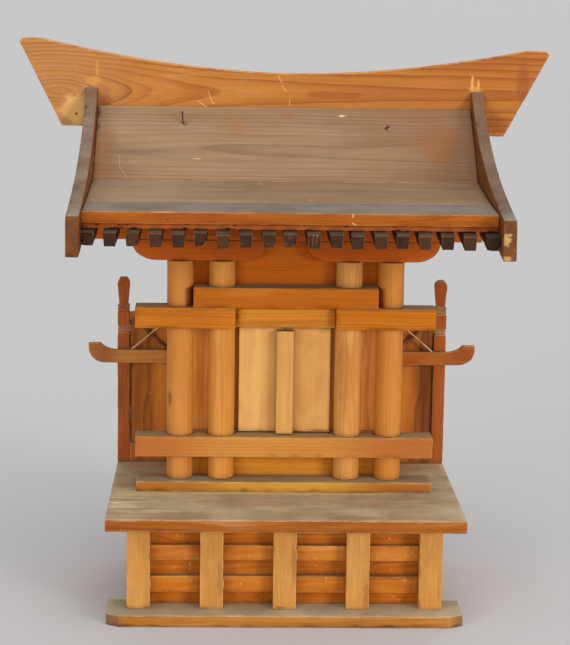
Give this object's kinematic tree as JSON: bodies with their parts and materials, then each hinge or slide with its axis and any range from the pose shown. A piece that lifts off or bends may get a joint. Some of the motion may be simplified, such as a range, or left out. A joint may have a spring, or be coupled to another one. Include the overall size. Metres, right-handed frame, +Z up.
{
  "type": "household shrine",
  "caption": "Small wooden household shrine: slatted pedestal, round columns, double door to a hollow sanctuary, side screens, one-sided roof with bargeboards and a tall curved ridge board.",
  "frame": {"origin": "middle of the shrine's box, on the surface that it stands on", "axes": "+Z up, -Y out of the front, +X to the right as one looks at the front"},
  "size_m": [0.4765, 0.2516, 0.4795],
  "materials": {
    "base": "plain planed softwood, dusty and worn pale at the edges",
    "post": "softwood with slanting saw marks, aged honey",
    "slat": "plain softwood, aged orange",
    "platform": "planed softwood, greyed and dusty on top",
    "beam": "planed softwood, aged deep orange",
    "bracket": "planed softwood, aged red orange",
    "column": "smooth turned softwood, pale honey",
    "wall": "thin softwood board, aged orange",
    "upper_wall": "thin softwood board with fine level grain, red orange",
    "door": "thin softwood board with fine upright grain, pale honey",
    "side": "thin softwood board, aged orange brown",
    "side_post": "softwood, aged red brown",
    "brace": "split softwood strip",
    "rafter": "softwood, dark brown, grey with dust on top",
    "eave": "planed softwood, orange in front and grey on top",
    "roof": "planed softwood, weathered grey brown",
    "barge": "planed softwood, weathered grey on top, brown at the sides",
    "ridge": "planed softwood with swirling grain and a pale sapwood corner",
    "nail": "rusty"
  },
  "bodies": {
    "shrine": {"base_board": "base", "rear_foot": "base", "pedestal_post_1": "post", "pedestal_post_2": "post", "pedestal_post_3": "post", "pedestal_post_4": "post", "pedestal_post_5": "post", "pedestal_slat_upper": "slat", "pedestal_slat_lower": "slat", "pedestal_back_board": "slat", "pedestal_side_left": "slat", "pedestal_side_right": "slat", "pedestal_rear_board": "slat", "platform_board": "platform", "sill_strip": "beam", "column_1": "column", "column_2": "column", "column_3": "column", "column_4": "column", "lower_rail": "beam", "mid_beam_left": "beam", "mid_beam_right": "beam", "upper_beam": "beam", "lintel": "beam", "bracket_arm_left": "bracket", "bracket_arm_right": "bracket", "eave_purlin": "bracket", "skirt_board": "wall", "front_wall_left": "wall", "front_wall_right": "wall", "upper_wall": "upper_wall", "side_wall_left": "wall", "side_wall_right": "wall", "back_wall": "wall", "sanctuary_floor": "wall", "side_post_left": "side_post", "side_post_right": "side_post", "side_bottom_rail_left": "side", "side_bottom_rail_right": "side", "side_top_rail_left": "side", "side_top_rail_right": "side", "side_panel_left": "side", "side_panel_right": "side", "side_bar_left": "side_post", "side_bar_right": "side_post", "cross_brace_left_front": "brace", "cross_brace_left_rear": "brace", "cross_brace_right_front": "brace", "cross_brace_right_rear": "brace", "rafter_row": "rafter", "eave_board": "eave", "roof_board_lower": "roof", "roof_board_upper": "roof", "bargeboard_left": "barge", "bargeboard_right": "barge", "ridge_board": "ridge", "roof_nail": "nail"},
    "left_leaf": {"door_left": "door"},
    "right_leaf": {"door_right": "door", "door_batten": "door"}
  },
  "joints": [
    {"name": "right_door", "type": "hinge", "parent": "shrine", "child": "right_leaf", "pos_m": [0.0385, 0.01875, 0.1437], "axis": [0, 0, 1], "range_deg": [0, 90]},
    {"name": "left_door", "type": "hinge", "parent": "shrine", "child": "left_leaf", "pos_m": [-0.0385, 0.01875, 0.1437], "axis": [0, 0, 1], "range_deg": [-90, 0]}
  ],
  "couplings": [
    {"joint": "left_door", "follows": "right_door", "ratio": -1}
  ]
}
